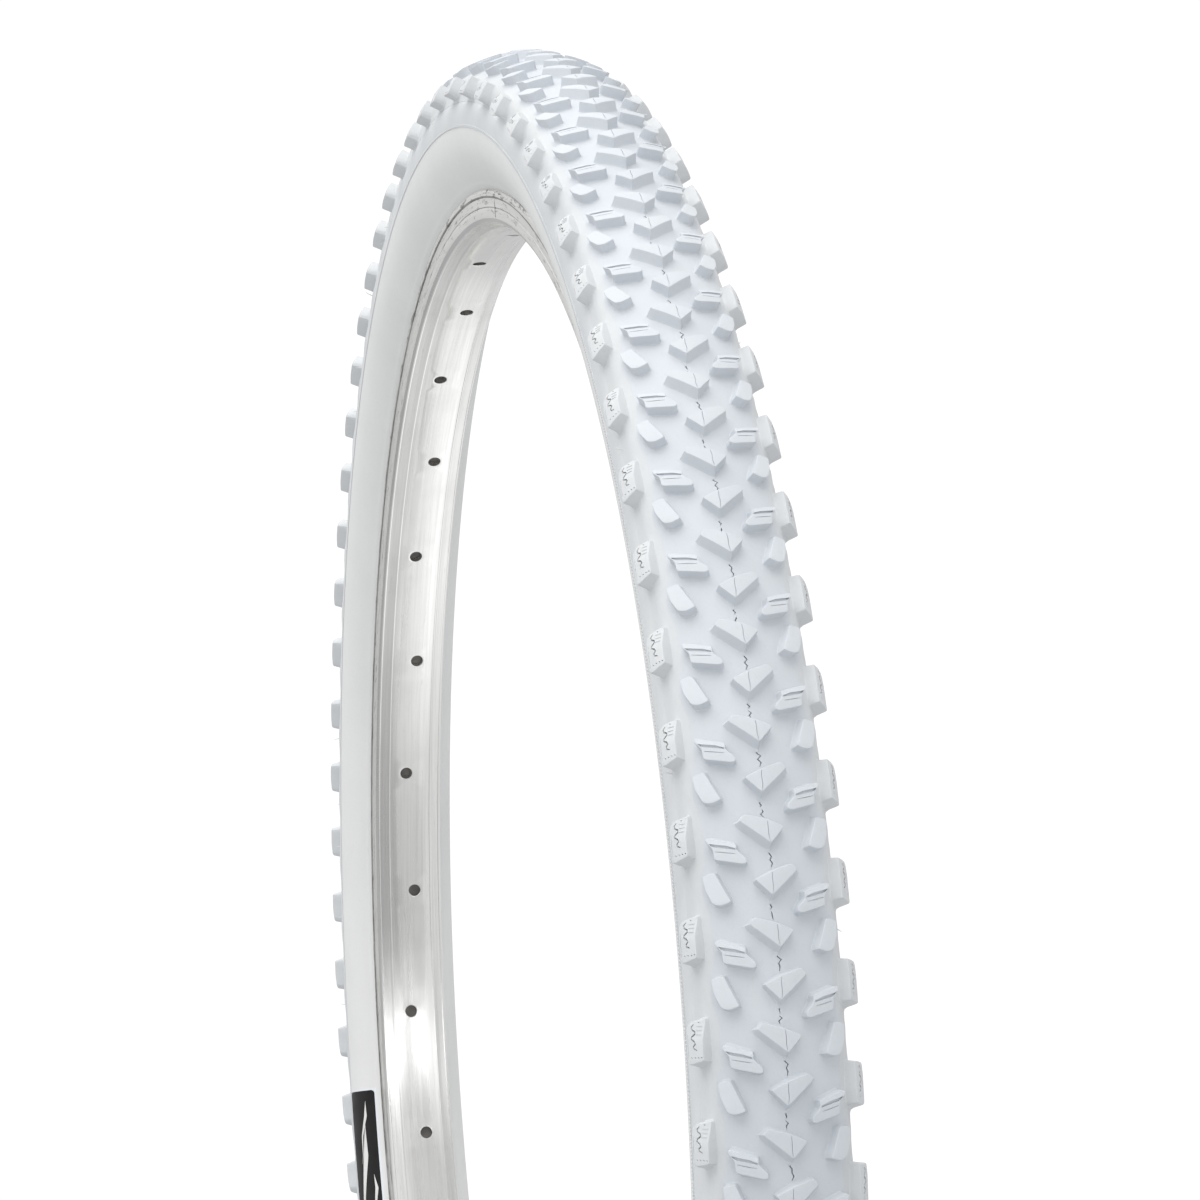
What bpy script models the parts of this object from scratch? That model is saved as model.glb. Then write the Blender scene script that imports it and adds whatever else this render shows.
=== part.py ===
"""Mountain bike tyre, inflated on a single-wall aluminium rim, with its inner tube and valve.

The wheel's centre is the origin, +Y is the axle line and +Z is up.
Sizes below are in millimetres unless a name ends in _DEG.
An angle round the wheel is measured from the top (+Z) towards +X.
"""
import math

import bmesh
import bpy
from mathutils import Vector
from mathutils.geometry import delaunay_2d_cdt

MM = 0.001

# Tread
PITCHES = 74
TREAD_RADIUS = 331.0
KNOB_HEIGHT = 3.2
SHOULDER_EXTRA_DEPTH = 1.0
SHOULDER_START_ARC = 24.0
SHOULDER_FULL_ARC = 30.0
TREAD_THICKNESS = 1.9
BAND_HALF_ARC = 32.0
INNER_FLAT_ARC = 14.0
CROWN_HALF_WIDTH = 25.6
CROWN_DEPTH = 27.0
CROWN_EXPONENT = 2.65
RING_PHASE = 0.48

# Rim
RIM_SEGMENTS = 72
RIM_HALF_WIDTH = 13.0
FLANGE_RADIUS = 285.5
BEAD_SEAT_RADIUS = 279.5
BED_RADIUS = 271.9
WELL_RADIUS = 274.1
SPOKE_HOLES = 36
SPOKE_HOLE_RADIUS = 2.25
SPOKE_STAGGER = 1.5
VALVE_HOLE_RADIUS = 4.35

# Inner tube and valve
TUBE_SEGMENTS = 37
HIDDEN_SEGMENTS = 37
TUBE_WALL = 0.9
STEM_RADIUS = 3.95
STEM_BORE_RADIUS = 2.6
STEM_TOP = 284.2
STEM_TIP = 243.0

PITCH_DEG = 360.0 / PITCHES
PITCH_LENGTH = 2.0 * math.pi * TREAD_RADIUS / PITCHES

# Knob outlines on the left half: (arc from the centre line, fraction of a pitch).
# The small leaf-shaped knobs are left out: only a point of the tread's base stands at each.
CENTRE_KNOB = [(-6.2, 0.645), (4.9, 0.795), (0.4, 0.955), (-7.5, 0.715)]
SLOTTED_KNOB = [(-17.2, 0.835), (-8.2, 0.925), (-6.8, 1.130), (-15.3, 1.065)]
LEAF_SPOT = (-14.2, 0.500)
SHOULDER_KNOB = [(-30.0, 0.660), (-22.7, 0.580), (-22.7, 0.985), (-29.5, 1.010)]


def clear_scene():
    for item in list(bpy.data.objects):
        bpy.data.objects.remove(item, do_unlink=True)


def material(name, colour, roughness, metallic=0.0):
    mat = bpy.data.materials.new(name)
    mat.use_nodes = True
    shader = mat.node_tree.nodes["Principled BSDF"]
    shader.inputs["Base Color"].default_value = (*colour, 1.0)
    shader.inputs["Roughness"].default_value = roughness
    shader.inputs["Metallic"].default_value = metallic
    mat.diffuse_color = (*colour, 1.0)
    return mat


def finish(name, bm, mat, origin=(0.0, 0.0, 0.0)):
    """Turn a bmesh in millimetres into an object in metres."""
    bmesh.ops.recalc_face_normals(bm, faces=bm.faces)
    shift = Vector(origin)
    for vert in bm.verts:
        vert.co = (vert.co - shift) * MM
    mesh = bpy.data.meshes.new(name)
    bm.to_mesh(mesh)
    bm.free()
    obj = bpy.data.objects.new(name, mesh)
    obj.location = shift * MM
    bpy.context.scene.collection.objects.link(obj)
    if mat is not None:
        mesh.materials.append(mat)
    return obj


def on_wheel(lateral, radius, degrees):
    angle = math.radians(degrees)
    return Vector((radius * math.sin(angle), lateral, radius * math.cos(angle)))


def mirrored(half):
    """A closed section from its +Y half, which is listed from the outside in."""
    return half + [(-lateral, radius) for lateral, radius in reversed(half)]


def offset(line, distance):
    """Move an open line of (lateral, radius) points away from the tyre's inside by a distance."""
    moved = []
    for index, (lateral, radius) in enumerate(line):
        before = line[max(index - 1, 0)]
        after = line[min(index + 1, len(line) - 1)]
        run = (after[0] - before[0], after[1] - before[1])
        length = math.hypot(*run)
        moved.append((lateral - run[1] / length * distance, radius + run[0] / length * distance))
    return moved


def hoop(name, section, segments, first_deg, mat):
    """Sweep a closed (lateral, radius) section all the way round the wheel."""
    bm = bmesh.new()
    step = 360.0 / segments
    loops = []
    for index in range(segments):
        degrees = first_deg + index * step
        loops.append([bm.verts.new(on_wheel(lat, rad, degrees)) for lat, rad in section])
    count = len(section)
    for index in range(segments):
        here = loops[index]
        there = loops[(index + 1) % segments]
        for point in range(count):
            after = (point + 1) % count
            bm.faces.new((here[point], here[after], there[after], there[point]))
    return finish(name, bm, mat)


def arc_strip(name, section, first_deg, step_deg, steps, mat):
    """Sweep a closed section part of the way round, with a face at each end."""
    bm = bmesh.new()
    loops = []
    for index in range(steps + 1):
        degrees = first_deg + index * step_deg
        loops.append([bm.verts.new(on_wheel(lat, rad, degrees)) for lat, rad in section])
    count = len(section)
    for index in range(steps):
        for point in range(count):
            after = (point + 1) % count
            bm.faces.new((loops[index][point], loops[index][after],
                          loops[index + 1][after], loops[index + 1][point]))
    bm.faces.new(loops[0])
    bm.faces.new(reversed(loops[-1]))
    return finish(name, bm, mat)


def turned(name, section, segments, mat, origin=(0.0, 0.0, 0.0)):
    """Turn a closed (radius, depth) section about the valve's line.

    Depth is the distance below the wheel's centre. A radius of 0 lies on the line.
    """
    bm = bmesh.new()
    loops = []
    for radius, depth in section:
        if radius == 0.0:
            loops.append([bm.verts.new((0.0, 0.0, -depth))])
            continue
        loop = []
        for index in range(segments):
            angle = 2.0 * math.pi * index / segments
            loop.append(bm.verts.new((radius * math.cos(angle), radius * math.sin(angle), -depth)))
        loops.append(loop)
    count = len(loops)
    for point in range(count):
        here = loops[point]
        there = loops[(point + 1) % count]
        if len(here) == 1 and len(there) == 1:
            continue
        for index in range(segments):
            after = (index + 1) % segments
            if len(here) == 1:
                bm.faces.new((here[0], there[after], there[index]))
            elif len(there) == 1:
                bm.faces.new((here[index], here[after], there[0]))
            else:
                bm.faces.new((here[index], here[after], there[after], there[index]))
    return finish(name, bm, mat, origin)


def coil(name, radius, wire, start, end, turns, mat):
    """A spring of square wire about the valve's line, from one depth to another."""
    bm = bmesh.new()
    steps = int(turns * 8)
    loops = []
    for index in range(steps + 1):
        angle = 2.0 * math.pi * turns * index / steps
        depth = start + wire + (end - start - 2.0 * wire) * index / steps
        loop = []
        for out, along in ((wire, 0.0), (0.0, wire), (-wire, 0.0), (0.0, -wire)):
            reach = radius + out
            loop.append(bm.verts.new((reach * math.cos(angle), reach * math.sin(angle), -depth - along)))
        loops.append(loop)
    for index in range(steps):
        for point in range(4):
            after = (point + 1) % 4
            bm.faces.new((loops[index][point], loops[index][after],
                          loops[index + 1][after], loops[index + 1][point]))
    bm.faces.new(loops[0])
    bm.faces.new(reversed(loops[-1]))
    return finish(name, bm, mat)


def radial_cutter(bm, degrees, lateral, radius, low, high, sides):
    """A prism along a spoke's line, for cutting a round hole."""
    angle = math.radians(degrees)
    out = Vector((math.sin(angle), 0.0, math.cos(angle)))
    along = Vector((math.cos(angle), 0.0, -math.sin(angle)))
    across = Vector((0.0, 1.0, 0.0))
    rings = []
    for reach in (low, high):
        ring = []
        for index in range(sides):
            turn = 2.0 * math.pi * (index + 0.5) / sides
            spot = out * reach + along * radius * math.cos(turn)
            spot = spot + across * (lateral + radius * math.sin(turn))
            ring.append(bm.verts.new(spot))
        rings.append(ring)
    for index in range(sides):
        after = (index + 1) % sides
        bm.faces.new((rings[0][index], rings[0][after], rings[1][after], rings[1][index]))
    bm.faces.new(rings[0])
    bm.faces.new(reversed(rings[1]))


def cut(target, cutter):
    cutter.hide_render = True
    cutter.display_type = "WIRE"
    modifier = target.modifiers.new("holes", "BOOLEAN")
    modifier.operation = "DIFFERENCE"
    modifier.solver = "EXACT"
    modifier.object = cutter


def crown_table():
    """Points down the crown curve: arc length, lateral and radius."""
    table = []
    arc = 0.0
    steps = 600
    for index in range(steps + 1):
        turn = 0.5 * math.pi * index / steps
        lateral = CROWN_HALF_WIDTH * math.sin(turn) ** (2.0 / CROWN_EXPONENT)
        drop = CROWN_DEPTH * (1.0 - max(math.cos(turn), 0.0) ** (2.0 / CROWN_EXPONENT))
        radius = TREAD_RADIUS - drop
        if table:
            arc += math.hypot(lateral - table[-1][1], radius - table[-1][2])
        table.append((arc, lateral, radius))
    return table


CROWN = crown_table()


def crown(arc, depth):
    """The (lateral, radius) point at an arc length from the centre line, below the knob tops."""
    side = -1.0 if arc < 0.0 else 1.0
    reach = abs(arc)
    index = 1
    while index < len(CROWN) - 1 and CROWN[index][0] < reach:
        index += 1
    low, high = CROWN[index - 1], CROWN[index]
    share = (reach - low[0]) / (high[0] - low[0])
    run = (high[1] - low[1], high[2] - low[2])
    length = math.hypot(*run)
    lateral = low[1] + run[0] * share + run[1] / length * depth
    radius = low[2] + run[1] * share - run[0] / length * depth
    return side * lateral, radius


def base_depth(arc):
    """Depth of the tread's base below the knob tops: deeper under the shoulder knobs."""
    share = (abs(arc) - SHOULDER_START_ARC) / (SHOULDER_FULL_ARC - SHOULDER_START_ARC)
    return round(KNOB_HEIGHT + SHOULDER_EXTRA_DEPTH * min(max(share, 0.0), 1.0), 4)


def opposite(outline):
    """The same knob on the right half, half a pitch further on."""
    return [(-arc, phase + 0.5) for arc, phase in reversed(outline)]


def later(outline, pitches):
    return [(arc, phase + pitches) for arc, phase in outline]


def build_tread(mat):
    """One pitch of knobs is triangulated between two zigzag seams, then repeated."""
    right_centre = opposite(CENTRE_KNOB)
    right_slotted = opposite(SLOTTED_KNOB)
    right_centre = later(right_centre, -1)
    right_slotted = later(right_slotted, -1)
    seam = [(-BAND_HALF_ARC, 0.45), SHOULDER_KNOB[0], SHOULDER_KNOB[1], LEAF_SPOT,
            right_centre[1], right_slotted[1], right_slotted[0], (BAND_HALF_ARC, 0.56)]
    knobs = [CENTRE_KNOB, SLOTTED_KNOB, SHOULDER_KNOB, opposite(SHOULDER_KNOB),
             later(right_centre, 1), later(right_slotted, 1)]
    border = seam + list(reversed(later(seam, 1)))
    points = [(-LEAF_SPOT[0], LEAF_SPOT[1] + 0.5)]
    faces = []
    for outline in [border] + knobs:
        face = []
        for arc, phase in outline:
            spot = (round(arc, 4), round(phase, 4))
            if spot not in points:
                points.append(spot)
            face.append(points.index(spot))
        faces.append(face)
    flat = [Vector((arc, phase * PITCH_LENGTH)) for arc, phase in points]
    out_points, _, triangles, _, _, owners = delaunay_2d_cdt(flat, [], faces, 1, 1e-5)
    bm = bmesh.new()
    made = {}

    def vertex(arc, phase, depth):
        key = (round(arc, 3), round(phase % PITCHES, 3) % PITCHES, depth)
        if key not in made:
            lateral, radius = crown(arc, depth)
            made[key] = bm.verts.new(on_wheel(lateral, radius, phase * PITCH_DEG))
        return made[key]

    inner_arcs = [-BAND_HALF_ARC, -INNER_FLAT_ARC, INNER_FLAT_ARC, BAND_HALF_ARC]
    inner_depth = KNOB_HEIGHT + TREAD_THICKNESS
    for turn in range(PITCHES):
        for triangle, owner in zip(triangles, owners):
            on_knob = any(number > 0 for number in owner)
            corners = []
            for number in triangle:
                spot = out_points[number]
                depth = 0.0 if on_knob else base_depth(spot.x)
                corners.append(vertex(spot.x, spot.y / PITCH_LENGTH + turn, depth))
            bm.faces.new(corners)
        for outline in knobs:
            for index, (arc, phase) in enumerate(outline):
                next_arc, next_phase = outline[(index + 1) % len(outline)]
                bm.faces.new((vertex(arc, phase + turn, base_depth(arc)),
                              vertex(next_arc, next_phase + turn, base_depth(next_arc)),
                              vertex(next_arc, next_phase + turn, 0.0),
                              vertex(arc, phase + turn, 0.0)))
        here = RING_PHASE + turn
        for arc, next_arc in zip(inner_arcs, inner_arcs[1:]):
            bm.faces.new((vertex(arc, here, inner_depth), vertex(next_arc, here, inner_depth),
                          vertex(next_arc, here + 1, inner_depth), vertex(arc, here + 1, inner_depth)))
        for arc, phase in (seam[0], seam[-1]):
            edge_depth = base_depth(arc)
            bm.faces.new((vertex(arc, phase + turn, edge_depth), vertex(arc, here, inner_depth),
                          vertex(arc, here + 1, inner_depth), vertex(arc, phase + turn + 1, edge_depth)))
    return finish("tread", bm, mat)


clear_scene()

white_tread = material("white_tread", (0.80, 0.82, 0.84), 0.75)
white_sidewall = material("white_sidewall", (0.74, 0.75, 0.73), 0.65)
cotton = material("casing_cloth", (0.62, 0.56, 0.44), 0.9)
belt_cloth = material("belt_cloth", (0.70, 0.52, 0.18), 0.85)
chafer_cloth = material("chafer_cloth", (0.30, 0.30, 0.29), 0.9)
bead_steel = material("bead_steel", (0.62, 0.60, 0.55), 0.35, 1.0)
silver = material("rim_aluminium", (0.80, 0.80, 0.79), 0.32, 1.0)
tape_rubber = material("tape_rubber", (0.06, 0.055, 0.05), 0.8)
tube_rubber = material("tube_rubber", (0.035, 0.035, 0.038), 0.6)
boot_rubber = material("boot_rubber", (0.04, 0.04, 0.042), 0.65)
brass = material("brass", (0.72, 0.58, 0.30), 0.3, 1.0)
core_brass = material("core_brass", (0.78, 0.64, 0.36), 0.28, 1.0)
pin_steel = material("pin_steel", (0.70, 0.69, 0.66), 0.3, 1.0)
spring_steel = material("spring_steel", (0.60, 0.60, 0.61), 0.3, 1.0)
cap_plastic = material("cap_plastic", (0.03, 0.03, 0.032), 0.5)
seal_rubber = material("seal_rubber", (0.08, 0.05, 0.045), 0.7)
nickel = material("nickel_nut", (0.72, 0.71, 0.68), 0.25, 1.0)
label_black = material("label_black", (0.03, 0.03, 0.032), 0.5)

ring_start = RING_PHASE * PITCH_DEG

# Tyre: tread, belt, casing, sidewalls, beads and chafers, each 0.3 mm clear of the next.
build_tread(white_tread)

belt_top = crown(INNER_FLAT_ARC, KNOB_HEIGHT + TREAD_THICKNESS)[1] - 0.35
hoop("breaker_belt", [(9.5, belt_top), (9.5, belt_top - 0.6), (-9.5, belt_top - 0.6), (-9.5, belt_top)],
     PITCHES, ring_start, belt_cloth)

sidewall_line = [(20.4, 313.7), (21.6, 306.5), (19.9, 296.5), (12.8, 286.2)]
for side, name in ((-1.0, "sidewall_left"), (1.0, "sidewall_right")):
    section = sidewall_line + list(reversed(offset(sidewall_line, -1.1)))
    hoop(name, [(side * lat, rad) for lat, rad in section], PITCHES, ring_start, white_sidewall)

casing_line = [(9.0, belt_top - 0.95), (18.5, 313.6), (19.9, 306.2), (10.4, 286.9), (10.4, 280.3)]
casing_inside = [(8.4, belt_top - 1.85), (17.7, 313.1), (19.0, 306.2), (9.7, 287.6), (9.7, 280.3)]
casing_section = ([(lat, rad) for lat, rad in casing_line] + list(reversed(casing_inside))
                  + [(-lat, rad) for lat, rad in casing_inside]
                  + [(-lat, rad) for lat, rad in reversed(casing_line)])
hoop("casing", casing_section, PITCHES, ring_start, cotton)

for side, word in ((-1.0, "left"), (1.0, "right")):
    wire = [(9.35, 282.6), (8.5, 283.4), (7.65, 282.6), (8.5, 281.8)]
    hoop("bead_wire_" + word, [(side * lat, rad) for lat, rad in wire], HIDDEN_SEGMENTS, ring_start,
         bead_steel)
    strip = [(11.1, 285.3), (11.1, 281.3), (10.7, 281.3), (10.7, 285.3)]
    hoop("chafer_" + word, [(side * lat, rad) for lat, rad in strip], HIDDEN_SEGMENTS, ring_start,
         chafer_cloth)

label_line = [(21.5, 305.6), (19.9, 296.5), (14.9, 289.3)]
label_section = offset(label_line, 0.7) + list(reversed(offset(label_line, 0.3)))
label_first = ring_start - 27 * PITCH_DEG
arc_strip("sidewall_label", [(-lat, rad) for lat, rad in label_section], label_first, PITCH_DEG, 6,
          label_black)

# Rim: an aluminium hoop with hooked flanges and staggered spoke holes.
rim_half = [(5.0, BED_RADIUS), (8.2, 273.3), (RIM_HALF_WIDTH, 277.0), (RIM_HALF_WIDTH, FLANGE_RADIUS),
            (11.5, FLANGE_RADIUS), (11.5, BEAD_SEAT_RADIUS), (7.4, 279.3), (6.4, WELL_RADIUS)]
rim_start = 180.0 / RIM_SEGMENTS
rim = hoop("rim", mirrored(rim_half), RIM_SEGMENTS, rim_start, silver)
cutter_mesh = bmesh.new()
for number in range(SPOKE_HOLES):
    place = (number + 0.5) * 360.0 / SPOKE_HOLES
    shift = SPOKE_STAGGER if number % 2 else -SPOKE_STAGGER
    radial_cutter(cutter_mesh, place, shift, SPOKE_HOLE_RADIUS, 268.0, 276.8, 6)
radial_cutter(cutter_mesh, 180.0, 0.0, VALVE_HOLE_RADIUS, 268.0, 276.8, 12)
cut(rim, finish("rim_hole_cutter", cutter_mesh, None))

tape = hoop("rim_tape", [(5.9, 275.0), (5.9, 274.45), (-5.9, 274.45), (-5.9, 275.0)],
            RIM_SEGMENTS, rim_start, tape_rubber)
cutter_mesh = bmesh.new()
radial_cutter(cutter_mesh, 180.0, 0.0, VALVE_HOLE_RADIUS, 270.0, 278.0, 12)
cut(tape, finish("tape_hole_cutter", cutter_mesh, None))

# Inner tube: a hollow ring whose one opening is the valve's hole.
tube_half = [(8.0, 319.6), (17.2, 308.5), (13.0, 296.4), (6.4, 284.0)]
tube_core = [(7.5, 318.6), (16.2, 308.2), (12.2, 296.9), (5.9, 284.9)]
bm = bmesh.new()
tube_start = 180.0 + 180.0 / TUBE_SEGMENTS
for section, outward in ((mirrored(tube_half), True), (mirrored(tube_core), False)):
    rows = []
    for index in range(TUBE_SEGMENTS):
        degrees = tube_start + index * 360.0 / TUBE_SEGMENTS
        rows.append([bm.verts.new(on_wheel(lat, rad, degrees)) for lat, rad in section])
    for index in range(TUBE_SEGMENTS):
        here, there = rows[index], rows[(index + 1) % TUBE_SEGMENTS]
        for point in range(len(section)):
            after = (point + 1) % len(section)
            corners = [here[point], here[after], there[after], there[point]]
            bm.faces.new(corners if outward else reversed(corners))
for vert in bm.verts:
    vert.co = vert.co * MM
mesh = bpy.data.meshes.new("inner_tube")
bm.to_mesh(mesh)
bm.free()
mesh.materials.append(tube_rubber)
inner_tube = bpy.data.objects.new("inner_tube", mesh)
bpy.context.scene.collection.objects.link(inner_tube)
cutter_mesh = bmesh.new()
radial_cutter(cutter_mesh, 180.0, 0.0, 4.3, 276.0, 290.0, 12)
cut(inner_tube, finish("tube_hole_cutter", cutter_mesh, None))

# Valve, straight down the line from the wheel's centre through the rim's valve hole.
turned("valve_boot", [(5.6, 275.4), (5.6, 282.6), (4.3, 282.6), (4.3, 275.4)], 12, boot_rubber)
turned("valve_stem", [(STEM_RADIUS, STEM_TIP), (STEM_RADIUS, STEM_TOP), (5.2, STEM_TOP),
                      (5.2, STEM_TOP + 1.0), (STEM_BORE_RADIUS, STEM_TOP + 1.0),
                      (STEM_BORE_RADIUS, STEM_TIP)], 12, brass)
turned("valve_core", [(2.25, 250.0), (2.25, 262.0), (1.05, 262.0), (1.05, 250.0)], 10, core_brass)
turned("valve_pin", [(0.0, 243.5), (0.9, 243.5), (0.9, 244.3), (1.75, 244.3), (1.75, 244.9),
                     (0.65, 244.9), (0.65, 262.4), (1.8, 262.4), (1.8, 264.0), (0.0, 264.0)], 8,
       pin_steel, (0.0, 0.0, -243.5))
coil("valve_spring", 1.35, 0.28, 245.1, 249.8, 4, spring_steel)
turned("valve_nut", [(6.6, 268.2), (6.6, 271.2), (4.3, 271.2), (4.3, 268.2)], 12, nickel,
       (0.0, 0.0, -269.7))
turned("valve_cap", [(5.3, 250.5), (4.3, 250.5), (4.3, 241.6), (0.0, 241.6), (0.0, 240.3),
                     (4.6, 240.3), (5.3, 241.2)], 12, cap_plastic, (0.0, 0.0, -245.4))
turned("valve_cap_seal", [(0.0, 242.6), (3.9, 242.6), (3.9, 241.9), (0.0, 241.9)], 10, seal_rubber,
       (0.0, 0.0, -245.4))
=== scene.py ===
"""White knobbly mountain bike tyre on a silver single-wall rim, with its valve at the bottom.

The wheel stands upright: +Y is the axle line and +Z is up.
Builder functions take millimetres, and angles in degrees from the top (+Z) towards +X.
"""
import math
import random

import bmesh
import bpy
import numpy as np
from mathutils import Euler, Matrix, Vector
from mathutils.geometry import delaunay_2d_cdt


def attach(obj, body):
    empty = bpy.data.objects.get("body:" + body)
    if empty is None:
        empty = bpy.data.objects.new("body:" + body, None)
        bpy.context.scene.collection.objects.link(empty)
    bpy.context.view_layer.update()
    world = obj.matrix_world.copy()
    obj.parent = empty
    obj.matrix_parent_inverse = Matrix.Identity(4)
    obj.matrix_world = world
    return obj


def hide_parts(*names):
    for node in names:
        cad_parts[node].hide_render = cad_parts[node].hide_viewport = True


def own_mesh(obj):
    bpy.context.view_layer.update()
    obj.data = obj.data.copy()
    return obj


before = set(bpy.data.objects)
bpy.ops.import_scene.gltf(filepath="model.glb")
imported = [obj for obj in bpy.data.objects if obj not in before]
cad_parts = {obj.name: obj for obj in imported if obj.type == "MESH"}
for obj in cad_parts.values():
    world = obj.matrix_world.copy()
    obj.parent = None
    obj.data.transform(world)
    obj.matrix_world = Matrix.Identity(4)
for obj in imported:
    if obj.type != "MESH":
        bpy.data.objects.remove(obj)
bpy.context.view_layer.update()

random.seed(11)

MM = 0.001
PITCHES = 74
PITCH_DEG = 360.0 / PITCHES
TREAD_RADIUS = 331.0
PITCH_LENGTH = 2.0 * math.pi * TREAD_RADIUS / PITCHES
CROWN_HALF_WIDTH = 25.6
CROWN_DEPTH = 27.0
CROWN_EXPONENT = 2.65
CROWN_ROUNDING = 1.2
KNOB_HEIGHT = 3.2
SHOULDER_EXTRA = 1.0
BAND_HALF_ARC = 32.0
INNER_DEPTH = 5.1
CRACK_DEPTH = 0.9

# Distances between the points of a surface, and the ease of a knob's corners.
KNOB_SPACING = 2.6
BASE_SPACING = 3.3
INNER_SPACING = 6.5
CORNER_EASE = 0.75


# ---------------------------------------------------------------- shapes

def on_wheel(lateral, radius, degrees):
    angle = np.radians(degrees)
    lateral, radius, angle = np.broadcast_arrays(lateral, radius, angle)
    return np.stack([radius * np.sin(angle), lateral, radius * np.cos(angle)], -1)


def new_object(name, data):
    obj = bpy.data.objects.new(name, data)
    bpy.context.scene.collection.objects.link(obj)
    return obj


def add_mesh(name, points, faces, mats, body="wheel", face_slots=None, across=None):
    """A piece from points in millimetres. across is a number for each point, which materials can read."""
    mesh = bpy.data.meshes.new(name)
    mesh.from_pydata((np.asarray(points, float) * MM).tolist(), [], faces)
    for mat in mats:
        mesh.materials.append(mat)
    if face_slots is not None:
        mesh.polygons.foreach_set("material_index", np.asarray(face_slots, np.int32))
    if across is not None:
        layer = mesh.attributes.new("across", "FLOAT", "POINT")
        layer.data.foreach_set("value", np.asarray(across, np.float32))
    bm = bmesh.new()
    bm.from_mesh(mesh)
    bmesh.ops.recalc_face_normals(bm, faces=bm.faces)
    bm.to_mesh(mesh)
    bm.free()
    mesh.shade_smooth()
    mesh.set_sharp_from_angle(angle=math.radians(30.0))
    obj = new_object(name, mesh)
    weighted = obj.modifiers.new("weighted_normals", "WEIGHTED_NORMAL")
    weighted.keep_sharp = True
    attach(obj, body)
    return obj


def quads(here, there, count):
    """Faces between two loops of count points, from the number of each loop's first point."""
    faces = []
    for point in range(count):
        after = (point + 1) % count
        faces.append((here + point, here + after, there + after, there + point))
    return faces


def hoop_faces(stations, count):
    """Faces between neighbouring loops of count points, all the way round."""
    faces = []
    for station in range(stations):
        faces += quads(station * count, (station + 1) % stations * count, count)
    return faces


def rod_faces(rows, count, first=0):
    """Faces along a row of loops of count points, with a cap at each end."""
    faces = []
    for row in range(rows - 1):
        faces += quads(first + row * count, first + (row + 1) * count, count)
    last = first + (rows - 1) * count
    faces.append(tuple(first + point for point in range(count)))
    faces.append(tuple(last + point for point in reversed(range(count))))
    return faces


def smooth_line(points, step):
    """Points at most a step apart on a Catmull-Rom curve through the given ones."""
    pts = np.array(points, float)
    padded = np.vstack([2 * pts[0] - pts[1], pts, 2 * pts[-1] - pts[-2]])
    out = []
    for index in range(1, len(padded) - 2):
        p0, p1, p2, p3 = padded[index - 1:index + 3]
        parts = max(int(math.ceil(np.linalg.norm(p2 - p1) / step)), 1)
        for part in range(parts):
            t = part / parts
            out.append(0.5 * (2 * p1 + (p2 - p0) * t + (2 * p0 - 5 * p1 + 4 * p2 - p3) * t * t
                              + (3 * p1 - p0 - 3 * p2 + p3) * t ** 3))
    out.append(pts[-1])
    return np.array(out)


def divided(line, spacing):
    """An open line of straight runs, with each run divided evenly."""
    line = np.array(line, float)
    out = []
    for here, there in zip(line, line[1:]):
        parts = int(math.ceil(np.linalg.norm(there - here) / spacing))
        out += [here + (there - here) * part / parts for part in range(parts)]
    out.append(line[-1])
    return np.array(out)


def line_normals(line):
    """Unit vectors to the left of an open line's run."""
    run = np.gradient(line, axis=0)
    run /= np.linalg.norm(run, axis=1)[:, None]
    return np.stack([-run[:, 1], run[:, 0]], 1)


def outward(points):
    """Unit normals of a closed anticlockwise outline."""
    run = np.roll(points, -1, axis=0) - np.roll(points, 1, axis=0)
    run /= np.linalg.norm(run, axis=1)[:, None]
    return np.stack([run[:, 1], -run[:, 0]], 1)


def signed_area(points):
    after = np.roll(points, -1, axis=0)
    return 0.5 * np.sum(points[:, 0] * after[:, 1] - after[:, 0] * points[:, 1])


def looped(outline):
    """A closed outline with its first point again at its end."""
    return np.vstack([outline, outline[:1]])


def rounded(outline, radius, spacing):
    """A closed outline with its corners eased and its long edges divided."""
    points = np.array(outline, float)
    count = len(points)
    out = []
    for index in range(count):
        corner = points[index]
        after = points[(index + 1) % count]
        back = points[index - 1] - corner
        ahead = after - corner
        back_length, ahead_length = np.linalg.norm(back), np.linalg.norm(ahead)
        ease = ahead / ahead_length * min(radius, 0.42 * ahead_length)
        start = corner + back / back_length * min(radius, 0.42 * back_length)
        end = corner + ease
        out += [start, 0.25 * start + 0.5 * corner + 0.25 * end, end]
        far = after - ease
        parts = int(np.linalg.norm(far - end) / spacing) + 1
        out += [end + (far - end) * part / parts for part in range(1, parts)]
    return np.array(out)


def inside(points, polygon):
    hit = np.zeros(len(points), bool)
    for (x1, y1), (x2, y2) in zip(polygon, np.roll(polygon, -1, axis=0)):
        if y1 != y2:
            crosses = (y1 > points[:, 1]) != (y2 > points[:, 1])
            hit ^= crosses & (points[:, 0] < (x2 - x1) * (points[:, 1] - y1) / (y2 - y1) + x1)
    return hit


def grid_points(low, high, spacing):
    rows = []
    for row, y in enumerate(np.arange(low[1], high[1], spacing * 0.87)):
        xs = np.arange(low[0] + (row % 2) * spacing * 0.5, high[0], spacing)
        rows.append(np.stack([xs, np.full(len(xs), y)], 1))
    return np.vstack(rows)


def clear_of(points, others, gap):
    distance = np.linalg.norm(points[:, None, :] - others[None, :, :], axis=2).min(1)
    return points[distance > gap]


def spot_key(x, y):
    return round(float(x), 3), round(float(y), 3)


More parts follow.
